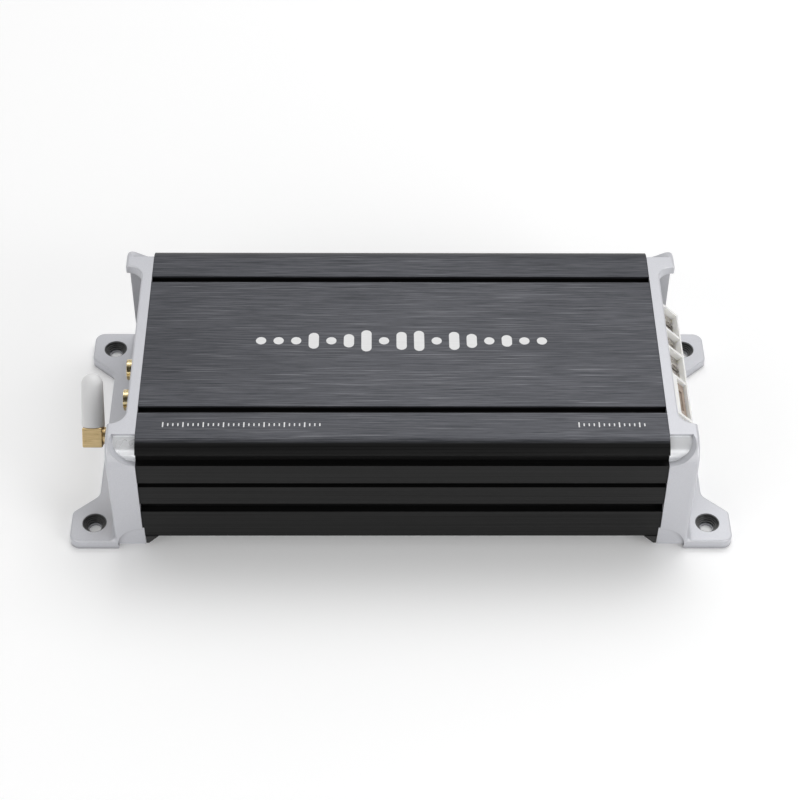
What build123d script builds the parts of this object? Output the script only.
"""Four-channel car amplifier: heatsink extrusion, two die-cast end caps, panels, terminals and electronics.

Millimetres. Origin on the mounting surface under the middle of the amplifier, +X towards the power end,
+Y towards the rear long side, +Z up. The signal end is at -X.
"""

import math
import os

from build123d import *

# ---- driving dimensions: heatsink extrusion ----
LENGTH = 200.0
DEPTH = 114.2
TOP_Z = 55.7
SHELL_BASE_Z = 6.2
CORNER_R = 8.4
SIDE_WALL = 5.0
ROOF = 4.5
HALF_L = LENGTH / 2
HALF_D = DEPTH / 2
ROOF_Z = TOP_Z - ROOF
INNER_HALF_D = HALF_D - SIDE_WALL
SIDE_GROOVES = ((47.0, 51.6, 3.0), (35.0, 37.4, 2.6), (21.0, 25.7, 3.0))  # low z, high z, depth
TOP_GROOVE_Y = 36.1
TOP_GROOVE_WIDTH = 3.4
TOP_GROOVE_DEPTH = 2.4
RAIL_TOP_Z = 11.6  # the foot of each side wall is stepped in below this
RAIL_STEP = 0.5
PLATE_LEDGE_Z = 8.0
SCREW_BOSSES = ((48.5, 46.6), (48.5, 12.6))  # |y|, z of the end cap screws
BOSS_R = 4.2

# ---- bottom plate ----
PLATE_T = 1.5
PLATE_HALF_Y = 54.9
PLATE_TOP_Z = PLATE_LEDGE_Z - 0.05
PLATE_LOW_Z = PLATE_TOP_Z - PLATE_T
PLATE_END_X = 99.25
GUSSET_T = 3.0
PLATE_DROP = 4.2  # the ends slope down this far at 45 degrees
PLATE_SCREWS = [(x, y) for x in (-70.0, 0.0, 70.0) for y in (-48.5, 48.5)]

# ---- end caps ----
CAP_PROUD = 0.7  # the caps stand this far outside the extrusion
CAP_X = 111.1  # outer face of pillars and hood horns
CAP_HALF_D = HALF_D + CAP_PROUD
CAP_TOP_Z = TOP_Z + 0.4
CAP_CORNER_R = CORNER_R + CAP_PROUD
HOOD = 3.8
HOOD_Z = CAP_TOP_Z - HOOD
STRIP_X = 104.2  # the hood narrows to this between the pillars
BAY_HALF_D = 43.4
BAY_CORNER_R = 6.1
WINDOW_HALF_D = 41.0
FLANGE_X = 119.2
FLANGE_T = 4.2
EAR_X = 129.1
EAR_CORNER_R = 4.0
HOLE_X = 120.0
HOLE_Y = 48.25
HOLE_R = 2.3
COUNTERBORE_R = 4.75
COUNTERBORE_Z = 1.0
EDGE_R = 0.7
OUTER_EDGE_R = 1.2
FOOT_FILLET_R = 2.4
CAP_SCREW_SEAT_X = 104.5
FOOT_LOW_Z = 1.9  # the caps stand on their ears alone, and the rest is this far off the floor
RECESS_Y = 1.0  # the pillars are set in below the hood by this, along y and at their inner corner along x
RECESS_X = 1.6
SLANT_LOW_Z = FLANGE_T + FOOT_FILLET_R
DISH_R = 9.8  # quarter disc at the foot of each pillar's outer face
DISH_DEPTH = 0.8
FACET_Y = HALF_D - 7.9  # the dished facet on each top corner starts here
FACET_FLOOR_R = 8.0
FACET_TOP_DEPTH = 0.5  # its floor lies this far inside the extrusion on top and on the side
FACET_SIDE_DEPTH = 2.5
FACET_RADII = (8.8, 12.0)  # half widths of its rim along x and across the corner
FACET_FLARE = (0.62, 0.78)  # how much those grow for each millimetre outwards
PANEL_T = 1.4
PANEL_GAP = 0.05
PANEL_X = HALF_L + PANEL_GAP
PANEL_FACE_X = PANEL_X + PANEL_T
PANEL_HALF_D = 42.6
PANEL_Z = (3.4, 53.6)
PANEL_SCREW_HOLES = [(y, z) for y in (-38.5, 38.5) for z in (8.0, 48.0)]
PANEL_SCREW_HOLE_R = 1.3

# ---- signal panel layout, y and z on the panel ----
RCA_Y = (3.4, -13.2)
RCA_Z = (37.0, 23.0)
RCA_SHELL_R = 4.15
RCA_SHELL_BORE_R = 3.6
RCA_COLLAR_R = 5.5
RCA_PIN_R = 1.62
RCA_BACK_X = 90.0
RCA_TIP_X = 108.6
SMA_YZ = (-28.2, 32.7)
POTS = {"front_gain": (34.0, 43.0), "rear_gain": (21.5, 43.0),
        "front_crossover": (34.0, 30.0), "rear_crossover": (21.5, 30.0)}
SWITCHES = {"front_filter": (34.0, 18.5), "rear_filter": (21.5, 18.5), "input_mode": (27.75, 12.0)}
LEDS = {"power_led": (-31.5, 18.0), "protect_led": (-25.0, 18.0)}
SWITCH_THROW = 2.0
POT_SHAFT_R = 3.0
LED_R = 1.5
SWITCH_SLOT = (7.0, 2.6)  # along y and z
SOCKET_HALF = (9.0, 3.5)  # half the shroud of the input socket, along y and z
SHROUD_WALL = 1.0
INPUT_SOCKET_YZ = (-5.0, 12.0)
PIN_ROW = (-5.0, -2.5, 0.0, 2.5, 5.0)

# ---- antenna ----
ANTENNA_LEAN = 33.0  # degrees back from vertical
ANTENNA_R = 4.45
ANTENNA_LENGTH = 20.6
ELBOW_SIDE = 7.8
ELBOW_X = 119.5

# ---- power end ----
BLOCK_Y = (-24.6, 36.4)
BLOCK_X = 113.6
BLOCK_KNEE_Z = 35.5  # the vertical outer face ends here and the 45 degree face begins
BLOCK_Z = (22.0, 45.8)
BLOCK_BACK_X = 96.0
WALL = 1.3
TERMINALS = {"battery": (22.8, 35.1, 2.5, 3.2), "remote": (12.6, 21.5, 1.5, 1.7),
             "ground": (-2.9, 11.3, 2.5, 3.2)}  # low y, high y, screw radius, wire bore radius
FUSE_WELL_Y = (-23.3, -4.2)
SCREW_FOOT = (109.0, 36.0)  # x, z where the screw heads sit, on their 45 degree axis
WIRE_Z = 27.5
SPEAKER_SOCKET_Y = (-22.0, 24.0)
SPEAKER_SOCKET_Z = (8.3, 19.9)
SPEAKER_WALL = 1.4
SPEAKER_ROWS = (-2.4, 2.4)
SPEAKER_COLUMNS = (-15.0, -5.0, 5.0, 15.0)

# ---- board ----
BOARD_Z = 14.0
BOARD_T = 1.6
BOARD_TOP = BOARD_Z + BOARD_T
BOARD_HALF_X = 96.0
BOARD_HALF_Y = 43.6
STANDOFFS = [(x, y) for x in (-88.0, 0.0, 84.0) for y in (-38.0, 38.0)]
TOROID = (30.0, 0.0)
TRANSISTOR_X = [-70.0 + 17.5 * index for index in range(8)]

SLOPE = (math.sqrt(0.5), 0.0, math.sqrt(0.5))  # outward normal of the power block's slanted face
CENTRE_LOW = (Align.CENTER, Align.CENTER, Align.MIN)


# ---- small shape helpers ----
def box(x, y, z):
    """A block between (low, high) limits on each axis."""
    size = (x[1] - x[0], y[1] - y[0], z[1] - z[0])
    return Pos((x[0] + x[1]) / 2, (y[0] + y[1]) / 2, (z[0] + z[1]) / 2) * Box(*size)


def rod(start, direction, radius, length):
    """A cylinder from the point start along direction."""
    return Plane(origin=start, z_dir=direction) * Cylinder(radius, length, align=CENTRE_LOW)


def ring(start, direction, outer, inner, length):
    """A plain bush from the point start along direction."""
    return rod(start, direction, outer, length) - rod(start, direction, inner, length)


def hexagon(start, direction, flats, length):
    """A hexagonal bar, flats wide, from the point start along direction."""
    face = RegularPolygon(flats / 2, 6, major_radius=False)
    return Plane(origin=start, z_dir=direction) * extrude(face, length)


def prism(points, plane, length):
    """A polygon in plane, extruded along the plane's normal."""
    return extrude(plane * make_face(Polyline(*points, close=True)), length)


def group(parts):
    """Separate solids kept together as one node."""
    return Compound(children=[solid for part in parts for solid in part.solids()])


def mirrored(shape):
    """The same shape at the other end of the amplifier."""
    return mirror(shape, about=Plane.YZ)


def save(name, shape):
    export_step(shape, f"parts/{name}.step")


# ---- shell ----
def rounded_profile(half_width, low_z, high_z, radius):
    """A rectangle in y and z with its two top corners rounded."""
    outline = Pos(0, (low_z + high_z) / 2) * Rectangle(2 * half_width, high_z - low_z)
    return fillet(outline.vertices().group_by(Axis.Y)[-1], radius)


def profile_block(y, z):
    return Pos((y[0] + y[1]) / 2, (z[0] + z[1]) / 2) * Rectangle(abs(y[1] - y[0]), abs(z[1] - z[0]))


def heatsink_shell():
    profile = rounded_profile(HALF_D, SHELL_BASE_Z, TOP_Z, CORNER_R)
    profile -= rounded_profile(INNER_HALF_D, SHELL_BASE_Z - 1, ROOF_Z, 4.0)
    for side in (-1, 1):
        ledge = profile_block((side * 45.0, side * (INNER_HALF_D + 1)), (PLATE_LEDGE_Z, 12.4))
        profile += ledge
        for boss_y, boss_z in SCREW_BOSSES:
            profile += Pos(side * boss_y, boss_z) * Circle(BOSS_R)
        seat = profile_block((0, side * (HALF_D - 2.0)), (SHELL_BASE_Z - 1, PLATE_LEDGE_Z))
        profile -= seat
        for boss_y, boss_z in SCREW_BOSSES:
            profile -= Pos(side * boss_y, boss_z) * Circle(1.5)
        for low, high, depth in SIDE_GROOVES:
            profile -= profile_block((side * (HALF_D - depth), side * (HALF_D + 1)), (low, high))
        profile -= profile_block((side * (HALF_D - RAIL_STEP), side * (HALF_D + 1)), (0, RAIL_TOP_Z))
        centre = side * TOP_GROOVE_Y
        half = TOP_GROOVE_WIDTH / 2
        profile -= profile_block((centre - half, centre + half), (TOP_Z - TOP_GROOVE_DEPTH, TOP_Z + 1))
    shell = Pos(-HALF_L, 0, 0) * extrude(Plane.YZ * profile, LENGTH)
    for x, y in PLATE_SCREWS:
        shell -= rod((x, y, PLATE_LEDGE_Z - 1), (0, 0, 1), 1.25, 5.0)
    return shell


def bottom_plate():
    """Folded steel floor: its ends slope down at 45 degrees, with a gusset closing each corner."""
    bend_x = PLATE_END_X - PLATE_DROP - PLATE_T / math.sqrt(2)
    tip = (bend_x + PLATE_DROP, PLATE_LOW_Z - PLATE_DROP)
    upper_tip = (PLATE_END_X, tip[1] + PLATE_T / math.sqrt(2))
    upper_bend_x = PLATE_END_X - (PLATE_TOP_Z - upper_tip[1])
    right = [(bend_x, PLATE_LOW_Z), tip, upper_tip, (upper_bend_x, PLATE_TOP_Z)]
    left = [(-x, z) for x, z in reversed(right)]
    sheet_plane = Plane(origin=(0, PLATE_HALF_Y, 0), x_dir=(1, 0, 0), z_dir=(0, -1, 0))
    plate = prism(right + left, sheet_plane, 2 * PLATE_HALF_Y)
    gusset_top = SHELL_BASE_Z - 0.05
    slope_x = bend_x + PLATE_LOW_Z - gusset_top
    gusset = [(slope_x, gusset_top), tip, (PLATE_END_X, tip[1]), (PLATE_END_X, gusset_top)]
    for side in (-1, 1):
        for low_y in (PLATE_HALF_Y - 1.0, 0.2 - HALF_D):
            gusset_plane = Plane(origin=(0, low_y, 0), x_dir=(1, 0, 0), z_dir=(0, -1, 0))
            plate += prism([(side * x, z) for x, z in gusset], gusset_plane, -GUSSET_T)
    for x, y in PLATE_SCREWS + STANDOFFS:
        plate -= rod((x, y, 0), (0, 0, 1), 1.7, 10)
    return plate


def pan_screw(seat, direction, shank_r, length, head_r, head_h):
    """Cross-recess pan screw: its head stands off seat, its shank runs the other way."""
    back = tuple(-value for value in direction)
    screw = rod(seat, direction, head_r, head_h) + rod(seat, back, shank_r, length)
    top = tuple(s + d * (head_h - 1.0) for s, d in zip(seat, direction))
    plane = Plane(origin=top, z_dir=direction)
    cross = Box(head_r * 1.2, 0.9, 1.2, align=CENTRE_LOW) + Box(0.9, head_r * 1.2, 1.2, align=CENTRE_LOW)
    return screw - plane * cross


def bottom_plate_screws():
    places = PLATE_SCREWS + STANDOFFS
    return group([pan_screw((x, y, PLATE_LOW_Z), (0, 0, -1), 1.2, 4.5, 2.8, 1.8) for x, y in places])


# ---- end caps ----
def corners_where(face, keep):
    return [vertex for vertex in face.vertices() if keep(vertex.X, abs(vertex.Y))]


def base_outline():
    """Plan of the cap's foot: a flange between two drilled ears."""
    half = [(EAR_X, CAP_HALF_D), (EAR_X, 42.6), (FLANGE_X, 33.8)]
    points = [(HALF_L, CAP_HALF_D), *half, *[(x, -y) for x, y in reversed(half)], (HALF_L, -CAP_HALF_D)]
    face = make_face(Polyline(*points, close=True))
    face = fillet(corners_where(face, lambda x, y: x > EAR_X - 1 and y > 50), EAR_CORNER_R)
    face = fillet(corners_where(face, lambda x, y: x > EAR_X - 1 and y < 43), 2.5)
    return fillet(corners_where(face, lambda x, y: abs(x - FLANGE_X) < 0.1), 4.5)


def cap_foot():
    foot = extrude(base_outline(), FLANGE_T)
    rim = foot.edges().group_by(Axis.Z)[-1].filter_by(lambda e: e.center().X > HALF_L + 1)
    return fillet(rim, EDGE_R)


def cap_tower():
    """Pillars and hood as one block, with the connector bay cut out of it."""
    profile = rounded_profile(CAP_HALF_D, FOOT_LOW_Z, CAP_TOP_Z, CAP_CORNER_R)
    tower = Pos(HALF_L, 0, 0) * extrude(Plane.YZ * profile, CAP_X - HALF_L)
    outline = tower.faces().sort_by(Axis.X)[-1].edges()
    tower = fillet(outline.filter_by(lambda e: e.center().Z > FOOT_LOW_Z + 0.1), OUTER_EDGE_R)
    bay = Pos((STRIP_X + CAP_X + 10) / 2, 0) * Rectangle(CAP_X + 10 - STRIP_X, 2 * BAY_HALF_D)
    bay = fillet(bay.vertices().group_by(Axis.X)[0], BAY_CORNER_R)
    tower -= Pos(0, 0, -1) * extrude(bay, 70)
    rim = tower.edges().filter_by(lambda e: e.bounding_box().min.Z > CAP_TOP_Z - 0.01)
    inner = rim.filter_by(lambda e: HALF_L + 0.5 < e.center().X < CAP_X - 1.0)
    inner = inner.filter_by(lambda e: abs(e.center().Y) < BAY_HALF_D + 0.1)
    return fillet(inner, 0.6)


def scallop(side):
    """Cutter for the dished facet on one top corner, down to a rounded floor set in from the outside."""
    corner = (HALF_L, side * FACET_Y, CAP_TOP_Z)
    out = (0, side * math.sqrt(0.5), math.sqrt(0.5))
    sections = []
    for step in (-4.0, 7.0):
        origin = tuple(c + o * step for c, o in zip(corner, out))
        radii = (radius + flare * step for radius, flare in zip(FACET_RADII, FACET_FLARE))
        sections.append(Plane(origin=origin, x_dir=(1, 0, 0), z_dir=out) * Ellipse(*radii))
    cone = loft(sections)
    beyond = box((HALF_L - 1, CAP_X + 20), sorted((side * FACET_Y, side * 90)), (20, 90))
    floor_y = HALF_D - FACET_SIDE_DEPTH - FACET_FLOOR_R
    floor_z = TOP_Z - FACET_TOP_DEPTH - FACET_FLOOR_R
    length = (HALF_L - 2, HALF_L + 38)
    floor = rod((HALF_L - 2, side * floor_y, floor_z), (1, 0, 0), FACET_FLOOR_R, 40)
    floor += box(length, sorted((0, side * (floor_y + FACET_FLOOR_R))), (0, floor_z))
    floor += box(length, sorted((0, side * floor_y)), (0, floor_z + FACET_FLOOR_R))
    return cone & beyond - floor


def end_cap():
    cap = cap_foot() + cap_tower()
    along_foot = cap.edges().filter_by(Axis.Y).filter_by(lambda e: abs(e.center().Z - FLANGE_T) < 0.01)
    cap = fillet(along_foot.filter_by(lambda e: abs(e.center().X - CAP_X) < 0.3), FOOT_FILLET_R)
    cap -= box((HALF_L - 1, CAP_X - 1.2), (-60, 60), (-1, FOOT_LOW_Z))
    cap -= box((PANEL_X - 1, CAP_X + 10), (-WINDOW_HALF_D, WINDOW_HALF_D), (FLANGE_T, HOOD_Z))
    cap -= box((HALF_L - 1, PANEL_FACE_X + PANEL_GAP), (-42.8, 42.8), (3.2, 53.8))
    for side in (-1, 1):
        pocket_x = (HALF_L - 1, CAP_X - 2.4 - RECESS_X)
        pocket = box(pocket_x, sorted((side * 45.6, side * 55.4)), (4.2, 42.0))
        pocket += box(pocket_x, sorted((side * 45.6, side * 51.0)), (41.0, 51.0))
        for boss_y, boss_z in SCREW_BOSSES:
            pocket -= rod((HALF_L - 1, side * boss_y, boss_z), (1, 0, 0), 5.0, 20)
        cap -= pocket
        for boss_y, boss_z in SCREW_BOSSES:
            cap -= rod((HALF_L - 1, side * boss_y, boss_z), (1, 0, 0), 1.9, 20)
            cap -= rod((CAP_SCREW_SEAT_X, side * boss_y, boss_z), (1, 0, 0), 3.5, 20)
        cap -= scallop(side)
        dish_y = CAP_HALF_D - DISH_DEPTH
        dish = rod((HALF_L + 0.3, side * dish_y, FOOT_LOW_Z), (0, side, 0), DISH_R, 5)
        cap -= dish & box((HALF_L - 1, CAP_X), sorted((side * 50, side * 70)), (FOOT_LOW_Z, 20))
        lip_y = sorted((side * (HALF_D - RAIL_STEP + 0.1), side * dish_y))
        cap += box((HALF_L - 0.6, HALF_L + 1), lip_y, (FOOT_LOW_Z, RAIL_TOP_Z - 0.1))
        cap -= rod((HOLE_X, side * HOLE_Y, -1), (0, 0, 1), HOLE_R, 10)
        cap -= rod((HOLE_X, side * HOLE_Y, COUNTERBORE_Z), (0, 0, 1), COUNTERBORE_R, 10)
        setback_y = sorted((side * 40, side * (BAY_HALF_D + RECESS_Y)))
        cap -= box((STRIP_X, CAP_X + 1), setback_y, (FLANGE_T, HOOD_Z))
        slant = [(CAP_X - RECESS_X, side * BAY_HALF_D), (CAP_X, side * (HALF_D - 1)),
                 (CAP_X + 1, side * (HALF_D - 1)), (CAP_X + 1, side * BAY_HALF_D)]
        cap -= Pos(0, 0, SLANT_LOW_Z) * extrude(make_face(Polyline(*slant, close=True)), HOOD_Z - SLANT_LOW_Z)
    return cap


def cap_screws():
    screws = []
    for side in (-1, 1):
        for y, z in SCREW_BOSSES:
            screws.append(pan_screw((CAP_SCREW_SEAT_X, side * y, z), (1, 0, 0), 1.45, 13.0, 3.2, 2.4))
    return group(screws)


def mounting_grommets():
    """Rubber cup in each ear, its bore stepped in towards the foot."""
    grommets = []
    for x in (-HOLE_X, HOLE_X):
        for y in (-HOLE_Y, HOLE_Y):
            cup = rod((x, y, COUNTERBORE_Z + 0.05), (0, 0, 1), COUNTERBORE_R - 0.05, 2.9)
            for radius, height in ((2.75, 0), (3.3, 0.9), (3.8, 1.5), (4.3, 2.1)):
                cup -= rod((x, y, COUNTERBORE_Z + height), (0, 0, 1), radius, 5)
            grommets.append(cup)
    return group(grommets)


# ---- signal end ----
def signal_panel():
    """Flat plate at +X, mirrored to the signal end when saved."""
    panel = box((PANEL_X, PANEL_FACE_X), (-PANEL_HALF_D, PANEL_HALF_D), PANEL_Z)
    for y in RCA_Y:
        for z in RCA_Z:
            panel -= rod((99, y, z), (1, 0, 0), RCA_COLLAR_R + 0.1, 5)
    panel -= rod((99, *SMA_YZ), (1, 0, 0), 3.3, 5)
    for y, z in POTS.values():
        panel -= rod((99, y, z), (1, 0, 0), POT_SHAFT_R + 0.6, 5)
    for y, z in SWITCHES.values():
        half_y, half_z = (size / 2 + 0.1 for size in SWITCH_SLOT)
        panel -= box((99, 104), (y - half_y, y + half_y), (z - half_z, z + half_z))
    for y, z in LEDS.values():
        panel -= rod((99, y, z), (1, 0, 0), LED_R + 0.1, 5)
    y, z = INPUT_SOCKET_YZ
    half_y, half_z = (half + 0.1 for half in SOCKET_HALF)
    panel -= box((99, 104), (y - half_y, y + half_y), (z - half_z, z + half_z))
    for y, z in PANEL_SCREW_HOLES:
        panel -= rod((99, y, z), (1, 0, 0), PANEL_SCREW_HOLE_R, 5)
    return panel


def rca_housing():
    low_y, high_y = RCA_Y[1] - 8.0, RCA_Y[0] + 8.0
    body = box((84.0, HALF_L - 0.05), (low_y, high_y), (BOARD_TOP, 45.0))
    for y in RCA_Y:
        for z in RCA_Z:
            body += rod((HALF_L - 0.1, y, z), (1, 0, 0), RCA_COLLAR_R, 2.6)
            body -= rod((RCA_BACK_X, y, z), (1, 0, 0), RCA_SHELL_R + 0.03, 20)
    return body


def rca_shells():
    length = RCA_TIP_X - RCA_BACK_X
    places = [(RCA_BACK_X, y, z) for y in RCA_Y for z in RCA_Z]
    return group([ring(place, (1, 0, 0), RCA_SHELL_R, RCA_SHELL_BORE_R, length) for place in places])


def rca_insulators(row):
    z = RCA_Z[row]
    return group([ring((RCA_BACK_X, y, z), (1, 0, 0), RCA_SHELL_BORE_R - 0.05, 2.15, 16.4) for y in RCA_Y])


def rca_contacts():
    return group([ring((RCA_BACK_X, y, z), (1, 0, 0), 2.1, RCA_PIN_R, 15.8) for y in RCA_Y for z in RCA_Z])


def sma_jack():
    y, z = SMA_YZ
    jack = box((94.0, 99.95), (y - 4, y + 4), (z - 4, z + 4)) + rod((99.9, y, z), (1, 0, 0), 3.15, 9.1)
    return jack - rod((104.0, y, z), (1, 0, 0), 2.3, 10) + rod((103.0, y, z), (1, 0, 0), 1.0, 5.0)


def sma_panel_nut():
    y, z = SMA_YZ
    return hexagon((PANEL_FACE_X, y, z), (1, 0, 0), 8.0, 2.0) - rod((99, y, z), (1, 0, 0), 3.2, 10)


def antenna_nut():
    """Hexagonal coupling nut that turns freely on the elbow and threads over the jack."""
    y, z = SMA_YZ
    nut = hexagon((106.2, y, z), (1, 0, 0), 8.0, 6.6) + rod((112.7, y, z), (1, 0, 0), 3.9, 1.7)
    return nut - rod((105.0, y, z), (1, 0, 0), 3.22, 7.0) - rod((111.0, y, z), (1, 0, 0), 2.25, 10)


def lean(shape):
    """Tips a shape that stands upright on the antenna's swivel axis back to its rest angle."""
    return shape.rotate(Axis((0, *SMA_YZ), (1, 0, 0)), -ANTENNA_LEAN)


def antenna_elbow():
    y, z = SMA_YZ
    half = ELBOW_SIDE / 2
    cube = box((ELBOW_X - half, ELBOW_X + half), (y - half, y + half), (z - half, z + half))
    cube = chamfer(cube.edges(), 0.35)
    cube += rod((ELBOW_X, y, z + half - 0.2), (0, 0, 1), 3.2, 0.9)
    cube += rod((109.4, y, z), (1, 0, 0), 2.15, 6.0) + rod((109.4, y, z), (1, 0, 0), 2.9, 1.4)
    cube += rod((114.6, y, z), (1, 0, 0), 3.3, 1.8)
    return lean(cube)


def antenna_stub():
    y, z = SMA_YZ
    base = z + ELBOW_SIDE / 2 + 0.1
    tip_r = ANTENNA_R - 0.25
    shoulder = ANTENNA_LENGTH - tip_r
    side = Polyline((0, 0), (ANTENNA_R + 0.05, 0), (tip_r, shoulder))
    dome = RadiusArc((tip_r, shoulder), (0, ANTENNA_LENGTH), -tip_r)
    profile = make_face(side + dome + Line((0, ANTENNA_LENGTH), (0, 0)))
    stub = Pos(ELBOW_X, y, base) * revolve(Plane.XZ * profile, Axis.Z)
    return lean(stub - rod((ELBOW_X, y, base - 1), (0, 0, 1), 3.25, 2.0))


def pot_bodies():
    bodies = []
    for y, z in POTS.values():
        body = box((90.0, 98.4), (y - 5.0, y + 5.0), (z - 5.0, z + 5.0))
        body += rod((98.3, y, z), (1, 0, 0), 4.2, 1.6)
        bodies.append(body - rod((92.0, y, z), (1, 0, 0), POT_SHAFT_R + 0.05, 20))
    return group(bodies)


def pot_shaft(y, z):
    """Slotted adjuster shaft, ending just outside the panel."""
    shaft = rod((92.1, y, z), (1, 0, 0), POT_SHAFT_R, PANEL_FACE_X + 1.0 - 92.1)
    shaft = chamfer(shaft.edges().group_by(Axis.X)[-1], 0.35)
    return shaft - box((101.2, 104), (y - 0.45, y + 0.45), (z - 4, z + 4))


def switch_bodies():
    bodies = []
    for y, z in SWITCHES.values():
        half_y, half_z = (size / 2 for size in SWITCH_SLOT)
        frame = box((92.0, 99.9), (y - 5.6, y + 5.6), (z - 3.4, z + 3.4))
        bodies.append(frame - box((95.0, 101), (y - half_y, y + half_y), (z - half_z, z + half_z)))
    return group(bodies)


def switch_slider(y, z, start):
    """Ribbed thumb piece of a slide switch."""
    middle = y + start
    slider = box((95.2, PANEL_FACE_X + 1.6), (middle - 1.3, middle + 1.3), (z - 1.2, z + 1.2))
    tip = PANEL_FACE_X + 1.6
    for step in (-0.65, 0.0, 0.65):
        slider -= box((tip - 0.4, tip + 1), (middle + step - 0.15, middle + step + 0.15), (z - 2, z + 2))
    return slider


def led(y, z):
    lens = rod((95.0, y, z), (1, 0, 0), LED_R, PANEL_FACE_X - 95.0)
    return lens + Pos(PANEL_FACE_X, y, z) * Sphere(LED_R)


def input_socket():
    """Shrouded header for the speaker-level inputs."""
    y, z = INPUT_SOCKET_YZ
    half_y, half_z = SOCKET_HALF
    shroud = box((90.0, PANEL_FACE_X + 0.6), (y - half_y, y + half_y), (z - half_z, z + half_z))
    half_y -= SHROUD_WALL
    half_z -= SHROUD_WALL - 0.1
    shroud -= box((94.0, 110), (y - half_y, y + half_y), (z - half_z, z + half_z))
    for place in PIN_ROW:
        shroud -= box((80, 95), (y + place - 0.35, y + place + 0.35), (z - 0.35, z + 0.35))
    return shroud


def input_pins():
    y, z = INPUT_SOCKET_YZ
    return group([box((88.0, 99.5), (y + p - 0.32, y + p + 0.32), (z - 0.32, z + 0.32)) for p in PIN_ROW])


# ---- power end ----
def along_slope(distance):
    """The point on the terminal screws' axis, distance outwards from where the heads sit, as x and z."""
    return SCREW_FOOT[0] + SLOPE[0] * distance, SCREW_FOOT[1] + SLOPE[2] * distance


def slope_box(y, across, depth):
    """A block lined up with the slanted face: across it, and (low, high) outwards from the screw seat."""
    x, z = along_slope(0)
    plane = Plane(origin=(x, (y[0] + y[1]) / 2, z), x_dir=(SLOPE[2], 0, -SLOPE[0]), z_dir=SLOPE)
    size = (across[1] - across[0], y[1] - y[0], depth[1] - depth[0])
    return plane * Pos((across[0] + across[1]) / 2, 0, (depth[0] + depth[1]) / 2) * Box(*size)


def power_panel():
    panel = box((PANEL_X, PANEL_FACE_X), (-PANEL_HALF_D, PANEL_HALF_D), PANEL_Z)
    panel -= box((99, 104), (BLOCK_Y[0] - 0.1, BLOCK_Y[1] + 0.1), (BLOCK_Z[0] - 0.1, BLOCK_Z[1] + 0.1))
    low, high = SPEAKER_SOCKET_Y
    panel -= box((99, 104), (low - 0.1, high + 0.1), (SPEAKER_SOCKET_Z[0] - 0.1, SPEAKER_SOCKET_Z[1] + 0.1))
    for y, z in PANEL_SCREW_HOLES:
        panel -= rod((99, y, z), (1, 0, 0), PANEL_SCREW_HOLE_R, 5)
    return panel


def block_profile(inset):
    """x and z outline of the terminal block, drawn in by inset."""
    run = inset * (math.sqrt(2) - 1)
    right, low, high = BLOCK_X - inset, BLOCK_Z[0] + inset, BLOCK_Z[1] - inset
    knee = BLOCK_KNEE_Z - run
    total = BLOCK_X + BLOCK_KNEE_Z - inset * math.sqrt(2)
    return [(BLOCK_BACK_X, low), (right, low), (right, knee), (total - high, high), (BLOCK_BACK_X, high)]


def power_block_housing():
    """Clear moulding with a well over each terminal, open on the slanted face."""
    turned = Plane(origin=(0, BLOCK_Y[0], 0), x_dir=(1, 0, 0), z_dir=(0, -1, 0))
    housing = prism(block_profile(0), turned, -(BLOCK_Y[1] - BLOCK_Y[0]))
    for low, high, screw_r, wire_r in TERMINALS.values():
        housing -= slope_box((low, high), (-7.4, 2.6), (-9.0, 10))
        housing -= box((BLOCK_BACK_X - 1, 103.0), (low, high), (BLOCK_Z[0] + WALL, 34.0))
        housing -= rod((100, (low + high) / 2, WIRE_Z), (1, 0, 0), wire_r + 0.6, 20)
    housing -= slope_box(FUSE_WELL_Y, (-3.4, 2.6), (-14.5, 10))
    return housing


def terminal_body(low, high, screw_r, wire_r):
    """Plated brass block: a wire bore facing outwards, met by a screw hole from the slanted face."""
    middle = (low + high) / 2
    width = (low + 0.1, high - 0.1)
    body = slope_box(width, (-7.3, 2.5), (-8.9, 0.4))
    body += box((BLOCK_BACK_X, 102.9), width, (BLOCK_Z[0] + WALL + 0.1, 33.9))
    body -= rod((90, middle, WIRE_Z), (1, 0, 0), wire_r, 40)
    x, z = along_slope(-14.5)
    body -= rod((x, middle, z), SLOPE, screw_r + 0.06, 30)
    return body


def terminal_screw(low, high, screw_r):
    """Slotted grub screw whose spigot turns in the clamp pad."""
    x, z = along_slope(-3.2)
    middle = (low + high) / 2
    screw = rod((x, middle, z), SLOPE, screw_r, 3.4)
    slot = slope_box((middle - 0.45, middle + 0.45), (-4, 4), (-1.0, 2))
    spigot_x, spigot_z = along_slope(-4.2)
    return screw - slot + rod((spigot_x, middle, spigot_z), SLOPE, screw_r * 0.45, 1.1)


def clamp_pad(low, high, screw_r):
    x, z = along_slope(-4.8)
    pad = rod((x, (low + high) / 2, z), SLOPE, screw_r, 1.5)
    spigot_x, spigot_z = along_slope(-4.3)
    return pad - rod((spigot_x, (low + high) / 2, spigot_z), SLOPE, screw_r * 0.45 + 0.06, 3)


def fuse():
    """Blade fuse: a stepped moulded body on two flat prongs."""
    low, high = FUSE_WELL_Y[0] + 0.3, FUSE_WELL_Y[1] - 0.3
    body = slope_box((low, high), (-2.9, 2.1), (-3.4, 1.6))
    body += slope_box((low + 1.8, high - 1.8), (-2.4, 1.6), (-7.0, -3.3))
    body -= slope_box((low + 4.0, high - 4.0), (-1.4, 0.6), (0.8, 3))
    for y in (low + 4.2, high - 4.2):
        body += slope_box((y - 2.4, y + 2.4), (-0.7, -0.1), (-13.4, -6.9))
    return body


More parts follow.
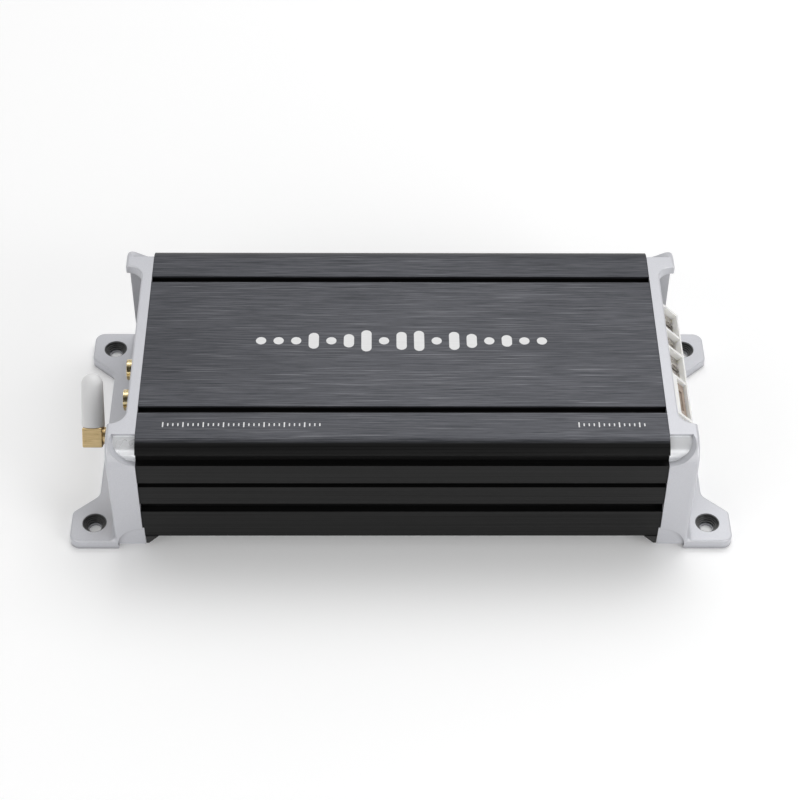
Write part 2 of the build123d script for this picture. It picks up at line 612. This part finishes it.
def fuse_clips():
    low, high = FUSE_WELL_Y[0] + 0.3, FUSE_WELL_Y[1] - 0.3
    clips = []
    for y in (low + 4.2, high - 4.2):
        clip = slope_box((y - 2.8, y + 2.8), (-1.6, 0.8), (-14.3, -8.4))
        clips.append(clip - slope_box((y - 2.9, y + 2.9), (-0.78, -0.02), (-13.6, 0)))
    return group(clips)


def speaker_socket():
    low, high = SPEAKER_SOCKET_Y
    socket = box((88.0, 107.5), SPEAKER_SOCKET_Y, SPEAKER_SOCKET_Z)
    cavity_z = (SPEAKER_SOCKET_Z[0] + SPEAKER_WALL, SPEAKER_SOCKET_Z[1] - SPEAKER_WALL)
    socket -= box((95.0, 120), (low + SPEAKER_WALL, high - SPEAKER_WALL), cavity_z)
    for y, z in speaker_pin_places():
        socket -= box((80, 96), (y - 0.55, y + 0.55), (z - 0.55, z + 0.55))
    return socket


def speaker_pin_places():
    middle_y, middle_z = sum(SPEAKER_SOCKET_Y) / 2, sum(SPEAKER_SOCKET_Z) / 2
    return [(middle_y + y, middle_z + z) for y in SPEAKER_COLUMNS for z in SPEAKER_ROWS]


def speaker_pins():
    places = speaker_pin_places()
    return group([box((86.0, 104.0), (y - 0.5, y + 0.5), (z - 0.5, z + 0.5)) for y, z in places])


# ---- board and its parts ----
def main_board():
    board = box((-BOARD_HALF_X, 95.0), (-BOARD_HALF_Y, BOARD_HALF_Y), (BOARD_Z, BOARD_TOP))
    for x, y in STANDOFFS:
        board -= rod((x, y, 0), (0, 0, 1), 1.7, 30)
    board -= box((-97, -87.5), (-5.0 - 9.2, -5.0 + 9.2), (0, 30))
    board -= box((85.5, 97), (SPEAKER_SOCKET_Y[0] - 0.3, SPEAKER_SOCKET_Y[1] + 0.3), (0, 30))
    board -= box((-97, -91.5), (15.8, 40), (0, 30))
    return board


def standoffs():
    pillars = [hexagon((x, y, PLATE_TOP_Z), (0, 0, 1), 5.5, BOARD_Z - PLATE_TOP_Z) for x, y in STANDOFFS]
    return group([pillar - rod((x, y, 0), (0, 0, 1), 1.25, 30) for pillar, (x, y) in zip(pillars, STANDOFFS)])


def board_screws():
    return group([pan_screw((x, y, BOARD_TOP), (0, 0, 1), 1.2, 3.4, 2.7, 1.8) for x, y in STANDOFFS])


def transformer_core():
    x, y = TOROID
    return ring((x, y, 22.0), (0, 0, 1), 19.0, 10.5, 14.0)


def transformer_windings():
    """Flat copper turns wrapped round the ring core."""
    x, y = TOROID
    turns = []
    for index in range(18):
        turn = box((9.0, 20.5), (-0.9, 0.9), (20.5, 37.5)) - box((10.4, 19.1), (-2, 2), (21.9, 36.1))
        turns.append(Pos(x, y, 0) * Rot(0, 0, 20 * index) * turn)
    return group(turns)


def can(x, y, radius, height):
    """Electrolytic capacitor standing on the board, with its crimp groove and vented top."""
    body = rod((x, y, BOARD_TOP + 0.05), (0, 0, 1), radius, height)
    body -= ring((x, y, BOARD_TOP + 2.5), (0, 0, 1), radius + 1, radius - 0.5, 0.9)
    top = BOARD_TOP + height - 0.3
    vents = box((x - radius * 0.6, x + radius * 0.6), (y - 0.2, y + 0.2), (top, top + 2))
    return body - vents - Pos(x, y) * Rot(0, 0, 90) * Pos(-x, -y) * vents


def rail_capacitors():
    return group([can(x, y, 8.0, 30.0) for x in (-22.0, -4.0) for y in (-9.5, 9.5)])


def input_capacitors():
    return group([can(66.0, y, 6.25, 25.0) for y in (-15.0, 0.0, 15.0)])


def output_inductors():
    cores = []
    for x in (-52.0, -38.0):
        for y in (-22.0, 22.0):
            core = box((x - 6, x + 6), (y - 6, y + 6), (BOARD_TOP + 0.05, BOARD_TOP + 11))
            cores.append(chamfer(core.edges().filter_by(Axis.Z), 1.2))
    return group(cores)


def input_choke():
    core = ring((70.0, 31.5, BOARD_TOP + 0.1), (0, 0, 1), 8.0, 4.0, 8.0)
    return fillet(core.edges(), 0.8)


def transistors():
    """Flat-tab power transistors standing against both side walls."""
    packs = []
    for side in (-1, 1):
        face = side * (INNER_HALF_D - 0.4)
        for x in TRANSISTOR_X:
            pack = box((x - 5, x + 5), sorted((face, face - side * 4.4)), (26.0, 35.4))
            pack += box((x - 5, x + 5), sorted((face, face - side * 1.3)), (26.0, 41.4))
            for lead in (-2.54, 0.0, 2.54):
                lead_x = (x + lead - 0.4, x + lead + 0.4)
                foot_y = face - side * 2.9
                pack += box(lead_x, sorted((foot_y, foot_y - side * 0.5)), (20.0, 26.1))
                pack += box(lead_x, sorted((foot_y, side * 41.5)), (19.5, 20.0))
                pack += box(lead_x, sorted((side * 41.5, side * 42.0)), (BOARD_TOP, 20.0))
            packs.append(pack)
    return group(packs)


def thermal_pads():
    inner_y = INNER_HALF_D - 0.35
    sides = [sorted((side * INNER_HALF_D, side * inner_y)) for side in (-1, 1)]
    return group([box((-78.0, 62.0), y, (24.0, 41.9)) for y in sides])


def clamp_bars():
    """Steel bars that press the transistors against the shell."""
    bars = []
    for side in (-1, 1):
        near = INNER_HALF_D - 0.4 - 4.45
        bar = box((-76.0, 60.0), sorted((side * near, side * (near - 1.8))), (29.5, 35.5))
        bars.append(bar + box((-76.0, 60.0), sorted((side * near, side * (near - 4.0))), (34.0, 35.5)))
    return group(bars)


def control_board():
    board = box((-80.0, -66.0), (-30.0, 30.0), (33.0, 34.4))
    for y in (-22.0, -8.0, 8.0, 22.0):
        board += box((-77.0, -69.0), (y - 4, y + 4), (34.3, 36.4))
    for y in (-27.0, 27.0):
        board += box((-67.6, -66.4), (y - 2.4, y + 2.4), (BOARD_TOP + 0.05, 33.1))
    return board


def bluetooth_module():
    board = box((-84.0, -60.0), (-40.5, -32.5), (BOARD_TOP + 0.05, BOARD_TOP + 1.2))
    can_lid = box((-76.0, -63.0), (-39.7, -33.3), (BOARD_TOP + 1.1, BOARD_TOP + 3.2))
    return board + chamfer(can_lid.edges().filter_by(Axis.Z), 0.5)


def build_all():
    save("heatsink_shell", heatsink_shell())
    save("bottom_plate", bottom_plate())
    save("bottom_plate_screws", bottom_plate_screws())
    cap = end_cap()
    save("power_end_cap", cap)
    save("signal_end_cap", mirrored(cap))
    save("end_cap_screws", group([cap_screws(), mirrored(cap_screws())]))
    save("mounting_grommets", mounting_grommets())
    signal_end = {"signal_panel": signal_panel(), "rca_housing": rca_housing(), "rca_shells": rca_shells(),
                  "rca_insulators_white": rca_insulators(0), "rca_insulators_red": rca_insulators(1),
                  "rca_contacts": rca_contacts(), "sma_jack": sma_jack(), "sma_panel_nut": sma_panel_nut(),
                  "antenna_nut": antenna_nut(), "antenna_elbow": antenna_elbow(),
                  "antenna_stub": antenna_stub(),
                  "pot_bodies": pot_bodies(), "switch_bodies": switch_bodies(),
                  "input_socket": input_socket(), "input_pins": input_pins()}
    for name, place in POTS.items():
        signal_end[f"{name}_shaft"] = pot_shaft(*place)
    for name, place in SWITCHES.items():
        start = -SWITCH_THROW if name == "input_mode" else 0.0
        signal_end[f"{name}_slider"] = switch_slider(*place, start)
    for name, place in LEDS.items():
        signal_end[name] = led(*place)
    for name, shape in signal_end.items():
        save(name, mirrored(shape))
    save("power_panel", power_panel())
    save("power_block_housing", power_block_housing())
    for name, (low, high, screw_r, wire_r) in TERMINALS.items():
        save(f"{name}_terminal", terminal_body(low, high, screw_r, wire_r))
        save(f"{name}_screw", terminal_screw(low, high, screw_r))
        save(f"{name}_clamp_pad", clamp_pad(low, high, screw_r))
    save("fuse", fuse())
    save("fuse_clips", fuse_clips())
    save("speaker_socket", speaker_socket())
    save("speaker_pins", speaker_pins())
    save("main_board", main_board())
    save("board_standoffs", standoffs())
    save("board_screws", board_screws())
    save("transformer_core", transformer_core())
    save("transformer_windings", transformer_windings())
    save("rail_capacitors", rail_capacitors())
    save("input_capacitors", input_capacitors())
    save("output_inductors", output_inductors())
    save("input_choke", input_choke())
    save("power_transistors", transistors())
    save("thermal_pads", thermal_pads())
    save("clamp_bars", clamp_bars())
    save("control_board", control_board())
    save("bluetooth_module", bluetooth_module())


os.makedirs("parts", exist_ok=True)
build_all()
